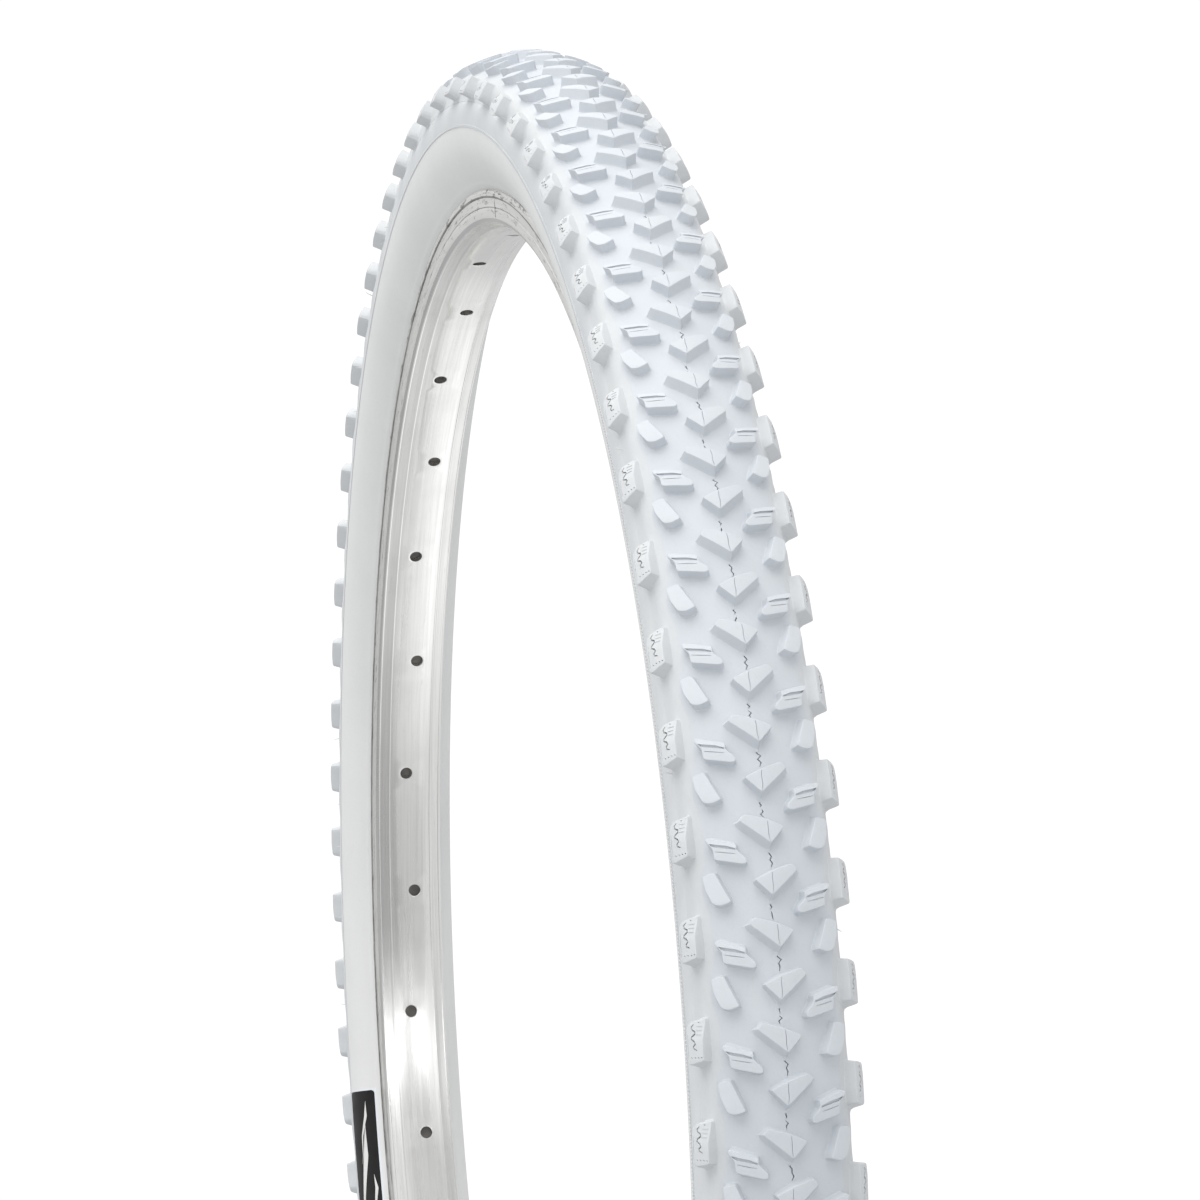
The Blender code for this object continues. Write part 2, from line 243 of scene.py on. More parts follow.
def triangulate(polygons, loose):
    """Triangles inside closed outlines, and for each the set of outlines that it lies in."""
    points = []
    index = {}
    faces = []
    for polygon in polygons:
        face = []
        for x, y in polygon if signed_area(np.array(polygon)) > 0.0 else polygon[::-1]:
            key = spot_key(x, y)
            if key not in index:
                index[key] = len(points)
                points.append(key)
            face.append(index[key])
        faces.append(face)
    points += [tuple(spot) for spot in loose]
    spots, _, triangles, sources, _, owners = delaunay_2d_cdt(points, [], faces, 1, 1e-6)
    placed = [points[source[0]] if source else (spot.x, spot.y) for spot, source in zip(spots, sources)]
    return placed, triangles, [set(owner) for owner in owners]


def smoothstep(value):
    value = np.clip(value, 0.0, 1.0)
    return value * value * (3.0 - 2.0 * value)


sweep = np.linspace(0.0, 0.5 * math.pi, 4001)
CROWN_LAT = CROWN_HALF_WIDTH * np.sin(sweep) ** (2.0 / CROWN_EXPONENT)
CROWN_RAD = TREAD_RADIUS - CROWN_DEPTH * (1.0 - np.clip(np.cos(sweep), 0.0, 1.0) ** (2.0 / CROWN_EXPONENT))
CROWN_ARC = np.concatenate([[0.0], np.cumsum(np.hypot(np.diff(CROWN_LAT), np.diff(CROWN_RAD)))])
CROWN_NORMAL = -line_normals(np.stack([CROWN_LAT, CROWN_RAD], 1))


def crown(arc, depth):
    """(lateral, radius) at an arc length from the centre line, below the knob tops."""
    reach = np.abs(arc)
    lateral, radius, across, down = [np.interp(reach, CROWN_ARC, values)
                                     for values in (CROWN_LAT, CROWN_RAD, *CROWN_NORMAL.T)]
    lateral = lateral + depth * across
    radius = radius + depth * down
    radius = radius - CROWN_ROUNDING * smoothstep(reach / 12.0) * (1.0 - smoothstep((reach - 14.0) / 12.0))
    return np.where(np.asarray(arc) < 0.0, -1.0, 1.0) * lateral, radius


def base_depth(arc):
    return KNOB_HEIGHT + SHOULDER_EXTRA * smoothstep((np.abs(arc) - 24.0) / 6.0)


# ---------------------------------------------------------------- tread knobs
# Outlines are on the left half: (arc from the centre line, fraction of a pitch).
# Each has a twin on the right half, half a pitch further on.

def flat_top(arc, phase):
    return 0.0 * arc


def leaf_top(arc, phase):
    return 0.9 * np.clip((0.47 - phase) / 0.29, 0.0, 1.0)


def slotted_top(arc, phase):
    upper = 0.865 + (arc + 17.0) * 0.0105
    return 0.25 * (1.0 - smoothstep((phase - upper + 0.03) / 0.03))


def shoulder_top(arc, phase):
    inner = smoothstep((arc + 28.6) / 6.0)
    return (0.5 + 1.3 * inner) * np.clip((0.79 - phase) / 0.19, 0.0, 1.0) + 0.25 * inner


def right_shoulder_top(arc, phase):
    return 0.25 * np.clip((0.70 - phase) / 0.12, 0.0, 1.0)


def toe_slope(arc, phase):
    """The extra slope of a shoulder knob's end wall, on the side away from the crown."""
    return 1.1 * (arc < -25.5) * (phase > 0.98)


def phased(line):
    return [(arc, phase * PITCH_LENGTH) for arc, phase in line]


def ribbon(line, half_width):
    """A thin closed outline round an open line of (arc, along) points."""
    line = np.array(line, float)
    side = line_normals(line) * half_width
    side[0] *= 0.4
    side[-1] *= 0.4
    return np.vstack([line + side, (line - side)[::-1]])


def groove(line, half_width, depth):
    """A thin mark along a line of (arc, phase) points. A negative depth stands proud."""
    return ribbon(phased(line), half_width), depth


WAVY = [(-27.0, 0.620), (-27.8, 0.650), (-27.5, 0.677), (-26.5, 0.697), (-26.4, 0.719), (-27.5, 0.745),
        (-27.7, 0.767), (-26.5, 0.793), (-26.1, 0.817), (-26.9, 0.841), (-26.7, 0.863), (-25.5, 0.880)]

CENTRE = {
    "outline": [(-6.0, 0.652), (-0.2, 0.715), (4.8, 0.795), (0.5, 0.955), (-7.4, 0.715)],
    "top": flat_top,
    "wall": lambda arc, phase: 0.5 + 1.7 * (phase - 0.70 > 0.030 * (arc + 7.4)),
    "marks": [groove([(0.0, 0.735), (0.15, 0.80), (0.05, 0.87), (0.35, 0.935)], 0.10, 0.28)],
}
SLOTTED = {
    "outline": [(-17.0, 0.838), (-8.7, 0.925), (-8.9, 0.990), (-6.6, 1.070), (-6.3, 1.122), (-7.4, 1.135),
                (-15.1, 1.065), (-15.3, 0.955), (-17.2, 0.885)],
    "top": slotted_top,
    "wall": lambda arc, phase: 0.65,
    "marks": [groove([(-16.4, 0.905), (-14.5, 0.930), (-11.5, 0.955), (-8.9, 0.985)], 0.40, 0.60),
              groove([(-14.6, 0.985), (-12.0, 1.006), (-9.3, 1.026)], 0.12, 0.35)],
}
LEAF = {
    "outline": [(-19.6, 0.205), (-15.6, 0.185), (-11.4, 0.485), (-14.4, 0.515), (-16.6, 0.495),
                (-18.7, 0.350)],
    "top": leaf_top,
    "wall": lambda arc, phase: 0.7,
    "marks": [],
}
SHOULDER = {
    "outline": [(-30.2, 0.645), (-28.6, 0.600), (-23.5, 0.575), (-23.3, 0.985), (-28.3, 1.020),
                (-30.0, 1.010)],
    "top": shoulder_top,
    "wall": lambda arc, phase: 1.0 + 0.25 * (arc > -23.9) * (phase > 0.70) + toe_slope(arc, phase),
    "marks": [groove(WAVY, 0.25, 1.2),
              groove([(-25.7, 0.604), (-25.3, 0.612)], 0.30, 0.9),
              groove([(-29.25, 0.72), (-29.3, 0.84), (-29.2, 0.96)], 0.10, 0.35)]
             + [groove([(arc, 0.945), (arc + 0.5, 0.957)], 0.28, 0.6)
                for arc in (-28.0, -26.6, -25.4, -24.3)]
             + [groove([(-26.0, phase), (-24.2, phase + 0.004)], 0.20, -0.15)
                for phase in (0.640, 0.680, 0.720)],
}
# The right shoulder knobs carry their sipe nearer the crown, with open pits along it.
RIGHT_SHOULDER = {
    "outline": [(-30.0, 0.615), (-29.2, 0.598), (-22.6, 0.575), (-22.4, 0.985), (-28.3, 1.020),
                (-30.0, 1.010)],
    "top": right_shoulder_top,
    "wall": lambda arc, phase: 0.7 + 0.3 * (phase > 0.70) + toe_slope(arc, phase),
    "marks": [groove([(arc + 1.5, phase) for arc, phase in WAVY], 0.34, 1.3),
              groove([(-25.3, 0.630), (-24.9, 0.655)], 0.36, 1.2),
              groove([(-24.3, 0.905), (-24.6, 0.935)], 0.30, 1.0),
              groove([(-27.7, 0.66), (-27.6, 0.70)], 0.24, 0.8),
              groove([(-27.4, 0.78), (-27.5, 0.83)], 0.24, 0.8),
              groove([(-27.2, 0.90), (-27.5, 0.94)], 0.24, 0.8)],
}
# Regions of the tread, from left to right. Each is a piece of its own.
LEFT, MIDDLE, RIGHT = 0, 1, 2

# Each knob with its side of the centre line, the pitches that it is moved on, and its region.
KNOBS = [(CENTRE, -1, 0, MIDDLE), (CENTRE, 1, 0, MIDDLE), (SLOTTED, -1, 0, MIDDLE), (SLOTTED, 1, 0, MIDDLE),
         (LEAF, -1, 1, MIDDLE), (LEAF, 1, 0, MIDDLE), (SHOULDER, -1, 0, LEFT), (RIGHT_SHOULDER, 1, 0, RIGHT)]

# Rings down a knob's wall: distance outward, and share of the way down to the base.
RINGS = [(-0.42, 0.0), (-0.13, 0.015), (0.05, 0.09), (0.40, 0.72), (0.66, 0.93), (1.05, 1.0)]

# Levels of the sheet: a name, and the depth at a spot.
BASE = ("base", lambda x, y: base_depth(x))
CRACK = ("crack", lambda x, y: base_depth(x) + CRACK_DEPTH)
INNER = ("inner", lambda x, y: INNER_DEPTH)


class Sheet:
    """A patch of surface in (arc, along, depth), built from outlines that share corners."""

    def __init__(self):
        self.spots = []
        self.depths = []
        self.index = {}
        self.faces = []
        self.regions = []

    def spot(self, x, y, depth, name):
        key = (*spot_key(x, y), name)
        if key not in self.index:
            self.index[key] = len(self.spots)
            self.spots.append((float(x), float(y)))
            self.depths.append(float(depth))
        return self.index[key]

    def on_level(self, level, spots):
        name, depth_at = level
        return [self.spot(x, y, depth_at(x, y), name) for x, y in spots]

    def face(self, corners, region):
        if len(set(corners)) > 2:
            self.faces.append(tuple(corners))
            self.regions.append(region)

    def wall(self, line, upper, lower, region):
        """Faces along a line, from one level down to another."""
        for pair in zip(line, line[1:]):
            high = self.on_level(upper, pair)
            low = self.on_level(lower, pair)
            self.face((high[0], high[1], low[1], low[0]), region)


def add_knob_top(sheet, outline, marks, height, region):
    """A knob's top inside its outline, with each mark sunk by its own depth."""
    cuts = [mark for mark, _ in marks]
    loose = grid_points(outline.min(0), outline.max(0), KNOB_SPACING)
    loose = loose[inside(loose, outline)]
    for cut in cuts:
        loose = loose[~inside(loose, cut)]
    if len(loose):
        loose = clear_of(loose, np.vstack([outline] + cuts), 0.9)
    spots, triangles, owners = triangulate([outline] + cuts, loose)
    top = ("ring0", height)
    floors = [("mark", lambda x, y, deep=deep: height(x, y) + deep) for _, deep in marks]
    for triangle, owner in zip(triangles, owners):
        sunk = [number for number in owner if number > 0]
        level = floors[sunk[0] - 1] if sunk else top
        sheet.face(sheet.on_level(level, [spots[corner] for corner in triangle]), region)
    for cut, floor_level in zip(cuts, floors):
        sheet.wall(looped(cut), top, floor_level, region)


def add_knob(sheet, knob, side, shift, region):
    """One knob: its eased top with its marks, its walls, and the outline where it meets the base."""
    def place(spots):
        spots = np.array(spots, float)
        if side > 0:
            spots = np.stack([-spots[:, 0], spots[:, 1] + 0.5 * PITCH_LENGTH], 1)
        return spots + np.array([0.0, shift])

    def height(x, y):
        phase = (np.asarray(y) - shift) / PITCH_LENGTH
        if side > 0:
            return knob["top"](-np.asarray(x), phase - 0.5)
        return knob["top"](np.asarray(x), phase)

    outline = rounded(phased(knob["outline"]), CORNER_EASE, KNOB_SPACING)
    if signed_area(outline) < 0:
        outline = outline[::-1]
    normals = outward(outline)
    stretch = np.array([knob["wall"](x, y / PITCH_LENGTH) for x, y in outline])[:, None]
    tops = knob["top"](outline[:, 0], outline[:, 1] / PITCH_LENGTH)
    rings = []
    loops = []
    for number, (distance, share) in enumerate(RINGS):
        spots = outline + normals * distance * (stretch if distance > 0 else 1.0)
        depths = tops * (1.0 - share) + base_depth(spots[:, 0]) * share
        name = "base" if number == len(RINGS) - 1 else "ring%d" % number
        rings.append(place(spots))
        loops.append([sheet.spot(x, y, depth, name) for (x, y), depth in zip(rings[-1], depths)])
    for upper, lower in zip(loops, loops[1:]):
        for point in range(len(outline)):
            after = (point + 1) % len(outline)
            sheet.face((upper[point], upper[after], lower[after], lower[point]), region)
    add_knob_top(sheet, rings[0], [(place(mark), deep) for mark, deep in knob["marks"]], height, region)
    return rings[-1]


# ---------------------------------------------------------------- tread

LEFT_SEAM = [(-BAND_HALF_ARC, 0.25), (-24.0, 0.25), (-21.5, 0.40), (-19.3, 0.60)]
MIDDLE_SEAM = [(-19.3, 0.60), (-16.5, 0.68), (-10.5, 0.63), (-6.5, 0.555), (-0.5, 0.585), (4.6, 0.69),
               (6.6, 0.712), (9.5, 0.665), (15.4, 0.625), (21.4, 0.637)]
RIGHT_SEAM = [(21.4, 0.637), (24.0, 0.72), (BAND_HALF_ARC, 0.72)]
LEFT_EDGE = [(-BAND_HALF_ARC, 0.25), (-BAND_HALF_ARC, 1.25)]
LEFT_SPLIT = [(-19.3, 0.60), (-19.3, 1.06), (-21.3, 1.15), (-21.5, 1.40), (-19.3, 1.60)]
RIGHT_SPLIT = [(21.4, 0.637), (21.5, 0.90), (19.3, 1.10), (19.3, 1.55), (21.4, 1.637)]
RIGHT_EDGE = [(BAND_HALF_ARC, 0.72), (BAND_HALF_ARC, 1.72)]
CRACKS = [[(-0.50, 1.493), (-0.20, 1.513), (-0.75, 1.532), (-0.35, 1.554), (-0.55, 1.575)],
          [(-0.55, 0.595), (-0.15, 0.620), (-0.60, 0.645), (-0.20, 0.676)],
          [(0.50, 0.996), (0.20, 1.030), (0.85, 1.062), (0.35, 1.095), (0.80, 1.130), (0.35, 1.172)]]
CRACK_WANDER = 0.28


def row_shift(degrees):
    """How far the knob rows run ahead of an even spacing, near the top and on one lower quarter."""
    turn = (degrees + 180.0) % 360.0 - 180.0
    lower = 0.90 * smoothstep((-45.0 - turn) / 50.0) * smoothstep((turn + 175.0) / 60.0)
    top = 0.80 * smoothstep((turn + 30.0) / 35.0) * (1.0 - smoothstep((turn - 12.0) / 46.0))
    return lower + top


def add_base(sheet, regions, rims, cracks):
    """The tread's base round the knobs, the floors of its cracks, and its inner face."""
    outlines = regions + rims + cracks
    edges = np.vstack(outlines)
    loose = grid_points(edges.min(0), edges.max(0), BASE_SPACING)
    keep = np.zeros(len(loose), bool)
    for region in regions:
        keep |= inside(loose, region)
    for hole in rims + cracks:
        keep &= ~inside(loose, hole)
    spots, triangles, owners = triangulate(outlines, clear_of(loose[keep], edges, 1.2))
    first_rim = len(regions)
    first_crack = first_rim + len(rims)
    for triangle, owner in zip(triangles, owners):
        if any(first_rim <= number < first_crack for number in owner):
            continue
        level = CRACK if max(owner) >= first_crack else BASE
        sheet.face(sheet.on_level(level, [spots[corner] for corner in triangle]), min(owner))
    loose = grid_points(edges.min(0), edges.max(0), INNER_SPACING)
    for number, region in enumerate(regions):
        kept = clear_of(loose[inside(loose, region)], region, 2.5)
        spots, triangles, _ = triangulate([region], kept)
        for triangle in triangles:
            sheet.face(sheet.on_level(INNER, [spots[corner] for corner in triangle]), number)


def tread_points(sheet, cracks):
    """The sheet's spots on every pitch of the wheel. The cracks wander differently on each."""
    seeds = {}
    for number, crack in enumerate(cracks):
        for point, (x, y) in enumerate(crack):
            pair = min(point, len(crack) - 1 - point)
            seeds[spot_key(x, y)] = number * 10 + pair
    spots = np.array(sheet.spots)
    depths = np.array(sheet.depths)
    wander = np.zeros((PITCHES, len(spots)))
    for (x, y, _), number in sheet.index.items():
        if (x, y) in seeds:
            noise = random.Random(seeds[(x, y)])
            wander[:, number] = [noise.uniform(-CRACK_WANDER, CRACK_WANDER) for _ in range(PITCHES)]
    turns = []
    for pitch in range(PITCHES):
        lateral, radius = crown(spots[:, 0] + wander[pitch], depths)
        degrees = (spots[:, 1] / PITCH_LENGTH + pitch) * PITCH_DEG
        turns.append(on_wheel(lateral, radius, degrees + row_shift(degrees)))
    return np.vstack(turns)


def tread_piece(name, mat, sheet, region, points, partner):
    """One region of the sheet, repeated round the wheel, as a piece of its own."""
    count = len(sheet.spots)
    own = [face for face, owner in zip(sheet.faces, sheet.regions) if owner == region]
    faces = []
    for pitch in range(PITCHES):
        here = pitch * count
        there = (pitch + 1) % PITCHES * count
        for face in own:
            faces.append([there + partner[corner] if corner in partner else here + corner
                          for corner in face])
    used = np.unique(np.concatenate([np.array(face) for face in faces]))
    renumber = np.full(len(points), -1)
    renumber[used] = np.arange(len(used))
    faces = [tuple(int(renumber[corner]) for corner in face) for face in faces]
    return add_mesh(name, points[used], faces, [mat])


def build_tread(mat_centre, mat_shoulder):
    """One pitch is triangulated between two zigzag seams, then repeated round the wheel."""
    seams = [divided(phased(line), KNOB_SPACING) for line in (LEFT_SEAM, MIDDLE_SEAM, RIGHT_SEAM)]
    borders = [divided(phased(line), KNOB_SPACING)
               for line in (LEFT_EDGE, LEFT_SPLIT, RIGHT_SPLIT, RIGHT_EDGE)]
    up = np.array([0.0, PITCH_LENGTH])
    regions = [np.vstack([seam[:-1], right[:-1], (seam + up)[::-1][:-1], left[::-1][:-1]])
               for seam, left, right in zip(seams, borders, borders[1:])]
    cracks = [ribbon(phased(line), 0.20) for line in CRACKS]
    sheet = Sheet()
    rims = [add_knob(sheet, knob, side, turns * PITCH_LENGTH, region)
            for knob, side, turns, region in KNOBS]
    add_base(sheet, regions, rims, cracks)
    for number in range(len(regions)):
        for border in borders[number:number + 2]:
            sheet.wall(border, BASE, INNER, number)
    for crack in cracks:
        sheet.wall(looped(crack), BASE, CRACK, MIDDLE)

    partner = {}
    for x, y in np.vstack(seams):
        for name, _ in (BASE, INNER):
            upper = (*spot_key(x, y + PITCH_LENGTH), name)
            partner[sheet.index[upper]] = sheet.index[(*spot_key(x, y), name)]
    points = tread_points(sheet, cracks)
    pieces = (("tread", mat_centre, MIDDLE), ("shoulder_knobs_left", mat_shoulder, LEFT),
              ("shoulder_knobs_right", mat_shoulder, RIGHT))
    return [tread_piece(name, mat, sheet, region, points, partner) for name, mat, region in pieces]


# ---------------------------------------------------------------- sidewalls

SIDEWALL = [(20.45, 314.35), (21.15, 311.6), (21.55, 308.6), (21.60, 305.4), (21.15, 301.4), (20.15, 297.4),
            (18.45, 293.6), (16.30, 290.3), (14.30, 287.9), (13.05, 286.4), (12.45, 285.7), (12.30, 284.4)]
SIDEWALL_THICKNESS = 0.9
MOULD_LINE_RADIUS = 306.5
MOULD_LINE_LATERAL = 21.56
RIDGE_RADIUS = 287.5


def build_sidewall(side, name, mats):
    """One sidewall: a mould line, a ridge by the rim, and a swelling under each shoulder knob."""
    line = smooth_line(SIDEWALL, 0.9)
    near_line = smooth_line([(MOULD_LINE_LATERAL, 307.3), (21.58, MOULD_LINE_RADIUS), (21.6, 305.7)], 0.16)
    keep = (line[:, 1] > 307.4) | (line[:, 1] < 305.6)
    line = np.vstack([line[keep], near_line])
    line = line[np.argsort(-line[:, 1])]
    normals = -line_normals(line)
    radius = line[:, 1]
    lift = 0.12 * np.exp(-((radius - MOULD_LINE_RADIUS) / 0.22) ** 2)
    lift += 0.20 * np.exp(-((radius - RIDGE_RADIUS) / 0.4) ** 2)
    fade = smoothstep((radius - 307.2) / 5.0) * smoothstep((314.6 - radius) / 1.2)
    back = (line + normals * SIDEWALL_THICKNESS)[::-2]
    knob_phase = 0.70 if side < 0 else 0.20
    stations = PITCHES * 10
    loops = []
    for station in range(stations):
        phase = station / 10.0
        swell = (0.5 + 0.5 * math.cos(2.0 * math.pi * (phase - knob_phase))) ** 1.6
        swell += 0.35 * (0.5 + 0.5 * math.cos(2.0 * math.pi * (phase - knob_phase - 0.46))) ** 3
        face = line - normals * (lift + 0.50 * fade * swell)[:, None]
        loop = np.vstack([face, back])
        loops.append(on_wheel(side * loop[:, 0], loop[:, 1], phase * PITCH_DEG))
    heights = np.concatenate([radius, back[:, 1]])
    count = len(heights)
    faces = hoop_faces(stations, count)
    slots = [1 if heights[number % count] > MOULD_LINE_RADIUS + 0.1 else 0 for number in range(len(faces))]
    across = np.tile(heights, stations)
    return add_mesh(name, np.vstack(loops), faces, mats, face_slots=slots, across=across)


def build_tick_ring(side, name, mat):
    """The finely notched ring that runs round the widest part of the sidewall."""
    teeth = PITCHES * 24
    loops = []
    for station in range(teeth * 2):
        stand = 0.50 if station % 2 == 0 else 0.16
        lateral = MOULD_LINE_LATERAL + np.array([-0.35, stand, stand, -0.35])
        radius = MOULD_LINE_RADIUS + np.array([0.45, 0.35, -0.35, -0.45])
        loops.append(on_wheel(side * lateral, radius, station * 180.0 / teeth))
    return add_mesh(name, np.vstack(loops), hoop_faces(teeth * 2, 4), [mat])


# ---------------------------------------------------------------- rim

# Half of the rim's section, as (lateral, radius): round the outside from the bed, then back down to the well.
RIM_OUTER = [(5.0, 271.9), (7.6, 272.95), (7.9, 272.9), (8.4, 273.1), (8.7, 273.45), (11.3, 274.75),
             (11.6, 274.7), (11.95, 274.9), (12.1, 275.25), (12.55, 275.9), (12.65, 276.4), (12.80, 279.5),
             (12.62, 279.62), (12.62, 279.85), (12.82, 279.97), (13.02, 282.55), (13.05, 282.8),
             (13.30, 283.0), (13.38, 283.5), (13.38, 284.5), (13.25, 285.2), (12.9, 285.5), (12.2, 285.5)]
RIM_INNER = [(11.6, 285.2), (11.1, 284.4), (11.3, 283.2), (11.5, 282.0), (11.5, 279.6), (11.2, 279.4),
             (7.6, 279.3), (7.3, 279.0), (6.6, 274.5), (6.4, 274.1)]
RIM_HALF = RIM_OUTER + RIM_INNER
RIM_SECTION = np.array(RIM_HALF + [(-lat, rad) for lat, rad in reversed(RIM_HALF)])
RIM_STATIONS = 720
STATION_DEG = 360.0 / RIM_STATIONS
SECTOR_DEG = 20
SIDE_LATERAL = 12.0
TRACK_LOW, TRACK_HIGH = 276.2, 282.9
PLAIN_SLOT, TRACK_SLOT, LIP_SLOT, GROOVE_SLOT = 0, 1, 2, 3

BED_MM_PER_DEG = math.radians(1.0) * 272.0
HOLE_SIDES = 20
SPOKE_HOLE_RADIUS, SPOKE_STAGGER = 2.25, 1.5
VALVE_HOLE_RADIUS, VALVE_DEG = 4.35, 180.0
# Rings down a hole's wall: growth of its radius, and distance from the wheel's centre.
HOLE_RINGS = [(0.32, 271.9), (0.08, 271.98), (0.0, 272.2), (0.0, 274.1)]


def rim_slot(point):
    """The material slot of the faces that run on from a section point."""
    lateral, radius = np.abs(RIM_SECTION[[point, (point + 1) % len(RIM_SECTION)]]).T
    if min(lateral) <= SIDE_LATERAL:
        return PLAIN_SLOT
    middle = 0.5 * (radius[0] + radius[1])
    # Faces in the two grooves take a darker metal, which is painted shade for the grooves.
    if 279.6 < middle < 279.9 or 282.7 < middle < 283.3:
        return GROOVE_SLOT
    if min(radius) > TRACK_HIGH:
        return LIP_SLOT
    return TRACK_SLOT if min(radius) > TRACK_LOW else PLAIN_SLOT


def sector_holes(start):
    """(degrees, lateral, radius) of each hole in a sector. Spoke holes stand to either side in turn."""
    holes = []
    for degrees in (start + 5.0, start + 15.0):
        odd = int(math.floor(degrees / 10.0)) % 2
        holes.append((degrees, SPOKE_STAGGER if odd else -SPOKE_STAGGER, SPOKE_HOLE_RADIUS))
    if start < VALVE_DEG < start + SECTOR_DEG:
        holes.append((VALVE_DEG, 0.0, VALVE_HOLE_RADIUS))
    return holes


def hole_circle(hole, growth):
    """Spots round a hole: (millimetres along the bed, lateral)."""
    degrees, lateral, size = hole
    circle = []
    for step in range(HOLE_SIDES):
        angle = 2.0 * math.pi * step / HOLE_SIDES
        circle.append((degrees * BED_MM_PER_DEG + (size + growth) * math.cos(angle),
                       lateral + (size + growth) * math.sin(angle)))
    return circle


def add_hole(hole, points, across, faces):
    """A hole's wall from the bed to the well. Gives the numbers of the points on each of its rings."""
    rings = []
    for growth, radius in HOLE_RINGS:
        rings.append(range(len(points), len(points) + HOLE_SIDES))
        for along, lateral in hole_circle(hole, growth):
            points.append(on_wheel(lateral, radius, along / BED_MM_PER_DEG).tolist())
            across.append(lateral)
    for upper, lower in zip(rings, rings[1:]):
        faces += quads(upper[0], lower[0], HOLE_SIDES)
    return rings


def sector_faces(start, edges, level, holes, rings):
    """Faces of the bed or the well over one sector, between two section points and round the holes."""
    stations = int(SECTOR_DEG / STATION_DEG)
    first_station = int(round(start / STATION_DEG))
    border = []
    numbers = {}
    for edge, steps in ((edges[1], range(stations + 1)), (edges[0], range(stations, -1, -1))):
        for step in steps:
            spot = ((start + step * STATION_DEG) * BED_MM_PER_DEG, float(RIM_SECTION[edge][0]))
            numbers[spot_key(*spot)] = (first_station + step) % RIM_STATIONS * len(RIM_SECTION) + edge
            border.append(spot)
    circles = [hole_circle(hole, HOLE_RINGS[level][0]) for hole in holes]
    for circle, levels in zip(circles, rings):
        for spot, number in zip(circle, levels[level]):
            numbers[spot_key(*spot)] = number
    spots, triangles, owners = triangulate([border] + circles, [])
    return [tuple(numbers[spot_key(*spots[corner])] for corner in triangle)
            for triangle, owner in zip(triangles, owners) if owner == {0}]


def build_rim(mats):
    """The hoop: its section swept round, with its bed and well drawn sector by sector round the holes."""
    lateral, radius = RIM_SECTION.T
    count = len(RIM_SECTION)
    points = [on_wheel(lateral, radius, station * STATION_DEG) for station in range(RIM_STATIONS)]
    points = np.vstack(points).tolist()
    run = np.concatenate([[0.0], np.cumsum(np.hypot(np.diff(lateral), np.diff(radius)))])
    run = np.minimum(run, run[-1] - run) + 5.0
    across = list(np.tile(np.sign(lateral) * run, RIM_STATIONS))
    well = (len(RIM_HALF) - 1, len(RIM_HALF))
    bed = (0, count - 1)
    faces = []
    slots = []
    for number, face in enumerate(hoop_faces(RIM_STATIONS, count)):
        point = number % count
        if point not in (well[0], bed[1]):
            faces.append(face)
            slots.append(rim_slot(point))
    for sector in range(360 // SECTOR_DEG):
        start = -10.0 + sector * SECTOR_DEG
        holes = sector_holes(start)
        rings = [add_hole(hole, points, across, faces) for hole in holes]
        faces += sector_faces(start, bed, 0, holes, rings)
        faces += sector_faces(start, well, len(HOLE_RINGS) - 1, holes, rings)
    slots += [PLAIN_SLOT] * (len(faces) - len(slots))
    return add_mesh("rim_hoop", points, faces, mats, face_slots=slots, across=across)


def build_rim_joint(mat):
    """The fine dark seam where the hoop's two ends meet."""
    points = []
    for degrees in (4.37, 4.40):
        for lateral, radius in ((12.73, 276.6), (13.03, 282.3), (12.2, 282.3), (12.2, 276.6)):
            points.append(on_wheel(-lateral, radius, degrees).tolist())
    return add_mesh("rim_joint_line", points, rod_faces(2, 4), [mat])


# ---------------------------------------------------------------- label and vent hairs

LABEL_FIRST, LABEL_LAST = -129.0, -101.1
LABEL_LOW, LABEL_HIGH = 288.9, 305.4
FILM_STEPS = 9

# Each slash: first and last angle, the radius at each of them, and its greatest width.
SLASHES = [(-106.6, -101.9, 298.2, 293.0, 1.5), (-112.0, -107.6, 291.6, 291.2, 1.4),
           (-113.5, -103.7, 301.2, 294.0, 3.0), (-119.0, -110.6, 294.2, 290.6, 1.9),
           (-122.4, -113.6, 301.2, 298.0, 2.4), (-126.8, -118.4, 296.0, 292.2, 2.8),
           (-127.6, -121.6, 301.8, 300.6, 1.6)]


def build_film(name, strips, lift, thickness, mat):
    """Thin closed patches on the left sidewall. Each is its angles, and its edges' radii at an angle."""
    line = smooth_line(SIDEWALL, 0.3)
    normals = line_normals(line)
    order = np.argsort(line[:, 1])
    points = []
    faces = []
    for angles, edges_at in strips:
        faces += rod_faces(len(angles), 2 * FILM_STEPS, len(points))
        for degrees in angles:
            radii = np.linspace(*edges_at(degrees), FILM_STEPS)
            for height, side in ((lift + thickness, radii), (lift, radii[::-1])):
                lateral = np.interp(side, line[order, 1], (line + normals * height)[order, 0])
                points += on_wheel(-lateral, side, degrees).tolist()
    return add_mesh(name, points, faces, [mat])


def label_edges(degrees):
    """The label's edges, which round off at its two ends."""
    ease = min((degrees - LABEL_FIRST) / 0.25, (LABEL_LAST - degrees) / 0.25, 1.0)
    inset = 1.2 * (1.0 - math.sqrt(max(1.0 - (1.0 - ease) ** 2, 0.0)))
    return LABEL_LOW + inset, LABEL_HIGH - inset


def carrier_edges(degrees):
    return LABEL_LOW - 0.7, LABEL_HIGH + 0.5


def slash(first, last, first_radius, last_radius, width):
    """A zigzag strip that tapers at both ends."""
    def edges_at(degrees):
        share = (degrees - first) / (last - first)
        bend = 2.2 * abs((share * 1.6 + 0.3) % 1.0 - 0.5) - 0.6
        middle = first_radius + (last_radius - first_radius) * share + bend
        half = 0.5 * width * max(min((1.0 - share) * 4.0, share * 1.35, 1.0), 0.06)
        return middle - half, middle + half

    return np.linspace(first, last, 26), edges_at


